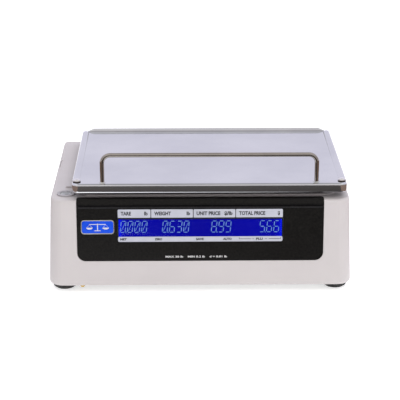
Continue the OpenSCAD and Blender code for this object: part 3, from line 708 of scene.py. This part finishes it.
def display(name, matrix, w, h, screen, lens, scale):
    """Lens, printed strips, backlit screen, lit digits and lettering of one display."""
    half = w / 2
    face = LENS_T / 2
    cells = [edge * half for edge in CELL_EDGES]
    y_top, y_low = h * (0.5 - TOP_STRIP), h * (LOW_STRIP - 0.5)
    lit_low, lit_high = y_low - 0.02 * h, y_top - 0.066 * h
    lit_h = lit_high - lit_low

    bm = bmesh.new()
    soft_block(bm, w, h, 3.3 * MM * scale, -face, face, 0.2 * MM, matrix, 8, 2)
    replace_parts(place(name + "_lens", bm, lens_mat, "base", "clear_window"), lens)

    _, _, screen_mid = size_of(screen)
    depth = (screen_mid - matrix.to_translation()).dot(matrix.to_3x3() @ Vector((0, 0, 1)))
    module_half = 2.1 * MM
    top = depth + module_half
    bm = bmesh.new()
    soft_block(bm, w - 2 * MM, h - 1.4 * MM, 1 * MM, depth - module_half, top - 0.25 * MM, 0.3 * MM, matrix)
    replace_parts(place(name + "_module", bm, black_mat, "base", "lcd"), screen)
    bm = bmesh.new()
    lit_mid = matrix @ Matrix.Translation((0, (lit_low + lit_high) / 2, 0))
    soft_block(bm, w - 2.2 * MM, lit_h, 0.8 * MM, top - 0.5 * MM, top, 0.12 * MM, lit_mid)
    place(name + "_screen", bm, backlight(name + "_glow", half), "base", "lcd")

    bm = bmesh.new()
    gap, margin = 0.9 * MM * scale, 0.35 * MM
    strip_t, strip_edge = 0.09 * MM, 0.03 * MM
    for left, right in zip(cells, cells[1:]):
        left += gap / 2 if left > -half else margin
        right -= gap / 2 if right < half else margin
        middle = matrix @ Matrix.Translation(((left + right) / 2, (y_top + h / 2) / 2 - 0.15 * MM, 0))
        soft_block(bm, right - left, h / 2 - y_top - 0.5 * MM, 0.9 * MM * scale, face, face + strip_t,
                   strip_edge, middle, 5, 2)
    middle = matrix @ Matrix.Translation((0, (y_low - h / 2) / 2 + 0.15 * MM, 0))
    soft_block(bm, w - 2 * margin, y_low + h / 2 - 0.5 * MM, 1.6 * MM * scale, face, face + strip_t,
               strip_edge, middle, 5, 2)
    place(name + "_strips", bm, strip_mat, "base", "nameplate")

    bm = bmesh.new()
    ink_z = face + strip_t
    cap = 0.104 * h
    base = (y_top + h / 2) / 2 - cap / 2
    for cell, (word, word_w, unit, unit_w) in enumerate(TOP_WORDS):
        start, end = cells[cell] + 0.04 * half, cells[cell + 1] - 0.038 * half
        lettering(bm, word, cap, start, base, ink_z, matrix, word_w * half, weight=0.04)
        lettering(bm, unit, cap, end, base, ink_z, matrix, unit_w * half, "RIGHT", weight=0.04)
    small = 0.062 * h
    small_base = (y_low - h / 2) / 2 - small * 0.42
    for word, x, word_w in LOW_WORDS:
        lettering(bm, word, small, x * half, small_base, ink_z, matrix, word_w * half, weight=0.05)
    # The bracket round the last low word: lines, dashes and two short uprights
    bar = 0.013 * h
    bar_y = small_base + small * 0.4
    bracket = [(0.469, 0.618, 0.0), (0.630, 0.652, 0.0), (0.782, 0.809, 0.0), (0.828, 0.978, 0.0),
               (0.469, 0.469 + bar / half, small * 0.7), (0.978 - bar / half, 0.978, small * 0.7)]
    for left, right, rise in bracket:
        x0, x1, y1 = left * half, right * half, bar_y + bar + rise
        prism(bm, [(x0, bar_y), (x1, bar_y), (x1, y1), (x0, y1)], ink_z, ink_z + LIT_T, matrix)
    place(name + "_labels", bm, ink_mat, "base", "nameplate")

    bm = bmesh.new()
    tall = lit_h * 0.64
    digit_base = lit_high - tall - lit_h * 0.1
    for text, right in READINGS:
        reading(bm, text, right * half, digit_base, 0.058 * half, tall, 0.0855 * half, 0.0095 * half, top,
                matrix)
    place(name + "_digits", bm, digit_mat, "base", "lcd")


display("front_display", front_frame, window_w, window_h, "front_lcd", "front_window", 1.0)
display("rear_display", rear_frame, rear_w, rear_h, "rear_lcd", "rear_window", 0.6)

# A small weighing-range line printed under the window, on the panel's face
panel_face = LENS_T / 2 + 0.1 * MM
bm = bmesh.new()
lettering(bm, "MAX 30 lb    MIN 0.2 lb    d = 0.01 lb", 2.3 * MM, -5 * MM, -window_h / 2 - 20.2 * MM,
          panel_face + 0.01 * MM, front_frame, 76 * MM, "CENTER")
place("capacity_line", bm, white_ink_mat, "base", "nameplate")


# Painted light at the film's fold, where it bends back over the housing's top edge: a glossy dark line of
# painted shade and a faint lighter line of painted highlight
_, film_high, _ = size_of("front_panel")
# Glossy dark line of painted shade along the fold
painted_crease_shade_mat = Finish("film_crease_painted_shade", (0.002, 0.002, 0.003), 0.3, Specular_IOR_Level=0.03)
painted_crease_shade_mat.mottle((0.001, 0.001, 0.002), (0.003, 0.003, 0.004), 300, 3)
# Faint lighter line of painted highlight below the fold
bend_highlight_paint_mat = Finish("film_bend_painted_highlight", (0.016, 0.016, 0.018), 0.4, Specular_IOR_Level=0.15)
bend_highlight_paint_mat.mottle((0.024, 0.024, 0.028), (0.034, 0.034, 0.038), 300, 3)
FILM_W = 301 * MM
film_top = (film_high.z - window_mid.z) / math.cos(WALL_LEAN)
for name, below, tall, finish in (("panel_crease_painted_shade", 7.2, 1.3, painted_crease_shade_mat),
                                  ("panel_bend_painted_highlight", 9.6, 0.8, bend_highlight_paint_mat)):
    line = front_frame @ Matrix.Translation((-window_mid.x, film_top - below * MM, 0))
    bm = bmesh.new()
    soft_block(bm, FILM_W, tall * MM, 0.2 * MM, panel_face - 0.1 * MM, panel_face + LIT_T, 0.04 * MM,
               line, 3, 2)
    place(name, bm, finish, "base", "black_panel")


# ---- Nameplate ----

badge_low, badge_high, badge_mid = size_of("nameplate")


def nameplate():
    """Silver frame round a blue face with a plain two-pan balance on it."""
    matrix = Matrix.Translation(badge_mid) @ Matrix.Rotation(math.radians(90) - WALL_LEAN, 4, "X")
    w, h, corner = badge_high.x - badge_low.x, 18 * MM, 4 * MM
    bm = bmesh.new()
    rings = []
    for inset, z in ((0, -0.6), (0, 0.25), (0.12, 0.5), (0.4, 0.6), (0.8, 0.6), (1.05, 0.5), (1.15, 0.2),
                     (1.15, 0)):
        cut = inset * MM
        rings.append(ring(bm, rounded_outline(w - 2 * cut, h - 2 * cut, corner - cut), z * MM, matrix))
    loft(bm, rings)
    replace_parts(place("nameplate_rim", bm, plated_mat, "base", "plated_steel", 50), "nameplate")
    bm = bmesh.new()
    low, high = 0.36 * MM, 0.44 * MM
    soft_block(bm, w - 2.3 * MM, h - 2.3 * MM, 2.8 * MM, -0.2 * MM, low, 0.18 * MM, matrix)
    place("nameplate_face", bm, enamel_mat, "base", "nameplate", 50)

    # The balance, drawn in mm: post, foot, beam, and on each side a pan with its two cords
    arm, pan_y, pan_r, pan_h = 10, -0.6, 4, 2.4
    shapes = [[(-0.5, -4.2), (0.5, -4.2), (0.5, 4.6), (-0.5, 4.6)],
              [(-4.5, -5), (4.5, -5), (3.2, -4.1), (-3.2, -4.1)],
              [(-arm, 3.2), (arm, 3.2), (arm, 4), (-arm, 4)]]
    for x in (-arm, arm):
        turns = [math.radians(a) for a in range(180, 361, 15)]
        shapes.append([(x + pan_r * math.cos(t), pan_y + pan_h * math.sin(t)) for t in turns])
        for foot in (x - 3.4, x + 3.4):
            shapes.append([(x - 0.15, 3.3), (x + 0.15, 3.3), (foot + 0.15, pan_y), (foot - 0.15, pan_y)])
    bm = bmesh.new()
    for shape in shapes:
        prism(bm, [(x * MM, y * MM) for x, y in shape], low, high, matrix)
    place("nameplate_balance", bm, white_ink_mat, "base", "nameplate")


nameplate()


# ---- Level ----

def turned_ring(bm, inner, outer, low, high, matrix, steps=48):
    """A flat ring, closed all round."""
    rings = []
    for radius, z in [(inner, low), (outer, low), (outer, high), (inner, high)]:
        turns = [math.tau * i / steps for i in range(steps)]
        rings.append(ring(bm, [(radius * math.cos(t), radius * math.sin(t)) for t in turns], z, matrix))
    for ring_a, ring_b in zip(rings, rings[1:] + rings[:1]):
        bridge(bm, ring_a, ring_b)


def level():
    """Bull's-eye vial: liquid, a bubble a little off centre, two rings and a domed lens."""
    vial_low, _, vial_mid = size_of("level_vial")
    _, cup_high, _ = size_of("level_cup")
    middle = Matrix.Translation((vial_mid.x, vial_mid.y, 0))
    liquid_top = cup_high.z - 1.5 * MM
    lens_r, lens_foot, crown = 7.9 * MM, cup_high.z - 0.4 * MM, 0.35 * MM
    bm = bmesh.new()
    liquid_r, meniscus = 7.8 * MM, 0.1 * MM
    profile = [(0, vial_low.z), (liquid_r, vial_low.z), (liquid_r, liquid_top - meniscus), (0, liquid_top)]
    turned(bm, profile, middle, 48)
    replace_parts(place("level_liquid", bm, liquid_mat, "base", "vial", 40), "level_vial")
    bm = bmesh.new()
    profile = [(0, liquid_top + 0.05 * MM), (lens_r, liquid_top), (lens_r, lens_foot)]
    for i in range(1, 7):
        turn = math.radians(15 * i)
        profile.append((lens_r * math.cos(turn) if i < 6 else 0, lens_foot + crown * math.sin(turn)))
    turned(bm, profile, middle, 48)
    place("level_lens", bm, vial_mat, "base", "vial", 40)
    bm = bmesh.new()
    ring_low, ring_high = liquid_top + 0.02 * MM, liquid_top + 0.08 * MM
    for radius in (3.4 * MM, 7.1 * MM):
        turned_ring(bm, radius - 0.3 * MM, radius + 0.3 * MM, ring_low, ring_high, middle)
    place("level_ring", bm, ink_mat, "base", "vial")
    bm = bmesh.new()
    off = middle @ Matrix.Translation((0.9 * MM, -1.0 * MM, 0))
    bubble = [(0, 0), (2.5, 0.04), (2.2, 0.2), (1.2, 0.3), (0, 0.32)]
    turned(bm, [(radius * MM, liquid_top + z * MM) for radius, z in bubble], off, 32)
    place("level_bubble", bm, bubble_mat, "base", "vial", 60)


level()


# ---- Keys ----

LEGENDS = {"seven": "7", "eight": "8", "nine": "9", "four": "4", "five": "5", "six": "6", "one": "1",
           "two": "2", "three": "3", "zero": "0", "point": ".", "clear": "C", "tare": "TARE",
           "zero_set": "ZERO", "plu": "PLU", "save": "SAVE"}
BLUE_KEYS = {"tare", "zero_set", "plu", "save"}
KEY_W, KEY_H = 34 * MM, 11 * MM
# The key's box is centred between its flange's bottom and its cap's top, 5.7 mm apart along the press
KEY_HALF = 2.85 * MM
FLANGE_T = 1.1 * MM
DISH = 0.3 * MM


def key(name, legend):
    """A dished cap with its flange behind the panel, and its printed legend."""
    node = "key_" + name
    _, _, middle = size_of(node)
    matrix = Matrix.Translation(middle) @ on_slope
    bottom, top = -KEY_HALF / MM, KEY_HALF / MM
    flange_top = bottom + FLANGE_T / MM
    # How much wider than the cap, corner radius and height, in mm: flange, walls, rounded edge, dish
    levels = [(1.6, 1.6, 1.6, bottom), (1.6, 1.6, 1.6, flange_top), (0, 0, 1.6, flange_top + 0.1),
              (0, 0, 1.6, top - 1.4), (-0.5, -0.5, 1.5, top - 0.6), (-1.3, -1.3, 1.3, top - 0.12),
              (-2.4, -2.4, 1.1, top), (-4.4, -4.4, 1.0, top - 0.16), (-8, -6.4, 0.9, top - DISH / MM)]
    bm = bmesh.new()
    loft(bm, [ring(bm, rounded_outline(KEY_W + dw * MM, KEY_H + dh * MM, r * MM, 5), z * MM, matrix)
              for dw, dh, r, z in levels])
    blue = name in BLUE_KEYS
    finish, slot = (key_blue_mat, "key_blue") if blue else (key_light_mat, "key_light")
    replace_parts(place("cap_" + name, bm, finish, node, slot, 40), node)
    dish_z = KEY_HALF - DISH
    bm = bmesh.new()
    if legend == ".":
        soft_block(bm, 1.2 * MM, 1.2 * MM, 0.5 * MM, dish_z - 0.02 * MM, dish_z + 0.12 * MM, 0.02 * MM,
                   matrix, 4, 1)
    else:
        tall = (4.6 if len(legend) == 1 else 2.9) * MM
        lettering(bm, legend, tall, 0, -tall / 2, dish_z, matrix, align="CENTER", depth=0.1 * MM)
    place("legend_" + name, bm, white_ink_mat if blue else ink_mat, node, slot)


for name, legend in LEGENDS.items():
    key(name, legend)


# ---- Floor, light and camera ----

def plain(name, color, rough):
    """A nearly even material for the stage."""
    finish = Finish(name, color, rough)
    finish.mottle([c * 0.985 for c in color], color, 3, 2)
    return finish.material


def sheet(name, half_x, half_y, at, finish):
    """A flat staged sheet."""
    bm = bmesh.new()
    bmesh.ops.create_grid(bm, x_segments=2, y_segments=2, size=1)
    bmesh.ops.scale(bm, vec=(half_x, half_y, 1), verts=bm.verts)
    mesh = bpy.data.meshes.new(name)
    bm.to_mesh(mesh)
    bm.free()
    mesh.materials.append(finish)
    piece = bpy.data.objects.new(name, mesh)
    piece.location = at
    scene.collection.objects.link(piece)
    return piece


def reflected_only(piece):
    """Hides a staged sheet from all but mirror-like reflections."""
    piece.visible_camera = False
    piece.visible_diffuse = False
    piece.visible_shadow = False


floor_mat = plain("floor_paper", (0.72, 0.72, 0.72), 0.7)
floor_shader = floor_mat.node_tree.nodes["Principled BSDF"]
floor_shader.inputs["Emission Color"].default_value = (1, 1, 1, 1)
floor_shader.inputs["Emission Strength"].default_value = 0.62
sheet("floor", 6, 6, (0, 0, 0), floor_mat)

# A dark sheet lying askew on the floor in front, seen only in polished metal
card_mat = Finish("card_dark", (0.05, 0.043, 0.036), 0.9)
card_mat.feed("Base Color", card_mat.ramp(card_mat.along("X", -0.7, 0.5), [
    (0.0, (0.09, 0.08, 0.07)), (1.0, (0.014, 0.012, 0.01))]))
dark = sheet("dark_card", 1.8, 1.04, (0.443, cad_low.y - 1.061, 0.002), card_mat.material)
dark.rotation_euler.z = math.radians(25.2)
reflected_only(dark)

# Warm brown sheets at either side in front, which darken the lip's round corners
for side, word in SIDES:
    reflected_only(sheet("brown_card_" + word, 0.7, 1.2, (side * 1.0, cad_low.y - 0.3, 0.003),
                         plain("card_brown_" + word, (0.22, 0.15, 0.11), 0.9)))

world = bpy.data.worlds.new("studio")
scene.world = world
world.use_nodes = True
tree = world.node_tree
split = tree.nodes.new("ShaderNodeSeparateXYZ")
tree.links.new(tree.nodes.new("ShaderNodeTexCoord").outputs["Generated"], split.inputs["Vector"])


def world_math(kind, a, b=None):
    node = tree.nodes.new("ShaderNodeMath")
    node.operation = kind
    for socket, value in zip(node.inputs, (a, b)):
        if isinstance(value, bpy.types.NodeSocket):
            tree.links.new(value, socket)
        elif value is not None:
            socket.default_value = value
    return node.outputs["Value"]


# The surround, from the horizon behind (0) over the top (0.5) to the horizon in front (1)
STOPS = [(0.0, (0.82, 0.80, 0.91)), (0.22, (0.84, 0.82, 0.93)), (0.35, (0.88, 0.88, 0.93)),
         (0.43, (0.3, 0.29, 0.3)), (0.46, (0.08, 0.075, 0.07)), (0.52, (0.07, 0.065, 0.06)),
         (0.57, (1, 0.97, 0.94)), (0.75, (0.9, 0.88, 0.86)), (0.86, (0.72, 0.69, 0.7)),
         (1.0, (0.4, 0.38, 0.38))]


def sky(share):
    """The surround's colour at a share of the way from behind to in front."""
    surround = tree.nodes.new("ShaderNodeValToRGB")
    marks = surround.color_ramp.elements
    while len(marks) < len(STOPS):
        marks.new(0.5)
    for mark, (at, color) in zip(marks, STOPS):
        mark.position = at
        mark.color = (*color, 1)
    tree.links.new(share, surround.inputs["Fac"])
    return surround.outputs["Color"]


# Each way looks up the sky by its height alone, and the front and back halves meet softly at the sides
share = world_math("DIVIDE", world_math("ARCSINE", split.outputs["Z"]), math.pi)
sideways = world_math("SQRT", world_math("SUBTRACT", 1.0001, world_math("POWER", split.outputs["Z"], 2)))
behind = tree.nodes.new("ShaderNodeMapRange")
behind.inputs["From Min"].default_value = -0.3
behind.inputs["From Max"].default_value = 0.3
tree.links.new(world_math("DIVIDE", split.outputs["Y"], sideways), behind.inputs["Value"])
blend = tree.nodes.new("ShaderNodeMix")
blend.data_type = "RGBA"
tree.links.new(behind.outputs["Result"], blend.inputs["Factor"])
# The mix node's colour sockets go by number, because its names stand for several kinds
tree.links.new(sky(world_math("SUBTRACT", 1.0, share)), blend.inputs[6])
tree.links.new(sky(share), blend.inputs[7])
background = tree.nodes["Background"]
background.inputs["Strength"].default_value = 1.0
tree.links.new(blend.outputs[2], background.inputs["Color"])


def area_light(name, place_at, aim, width, height, power, color=(1, 1, 1)):
    lamp = bpy.data.lights.new(name, "AREA")
    lamp.shape = "RECTANGLE"
    lamp.size, lamp.size_y = width, height
    lamp.energy = power
    lamp.color = color
    holder = bpy.data.objects.new(name, lamp)
    scene.collection.objects.link(holder)
    holder.location = place_at
    holder.rotation_euler = (Vector(aim) - Vector(place_at)).to_track_quat("-Z", "Y").to_euler()
    holder.visible_glossy = False


area_light("key_light_soft", (0.3, -1.6, 1.3), (0, 0, 0.06), 1.4, 1.0, 8.5)
area_light("fill_light_soft", (1.3, -1.2, 1.0), (0, 0, 0.06), 1.2, 1.0, 5, (1, 0.98, 0.95))
area_light("top_light_soft", (0.3, 0.5, 1.7), (0, 0, 0.1), 1.2, 0.9, 9, (0.9, 0.9, 1))

scene.view_settings.view_transform = "Standard"

CAMERA_AWAY = 1.8826
camera_data = bpy.data.cameras.new("camera")
camera_data.sensor_width = 36
camera_data.lens = 137.97
camera = bpy.data.objects.new("camera", camera_data)
scene.collection.objects.link(camera)
down, turn = math.radians(18.3), math.radians(0.82)
forward = Vector((math.sin(turn) * math.cos(down), math.cos(turn) * math.cos(down), -math.sin(down)))
aim = Vector((-0.3 * MM, plate_low.y, DECK_Z - 21 * MM))
camera.location = aim - forward * CAMERA_AWAY
camera.rotation_euler = forward.to_track_quat("-Z", "Y").to_euler()
scene.camera = camera
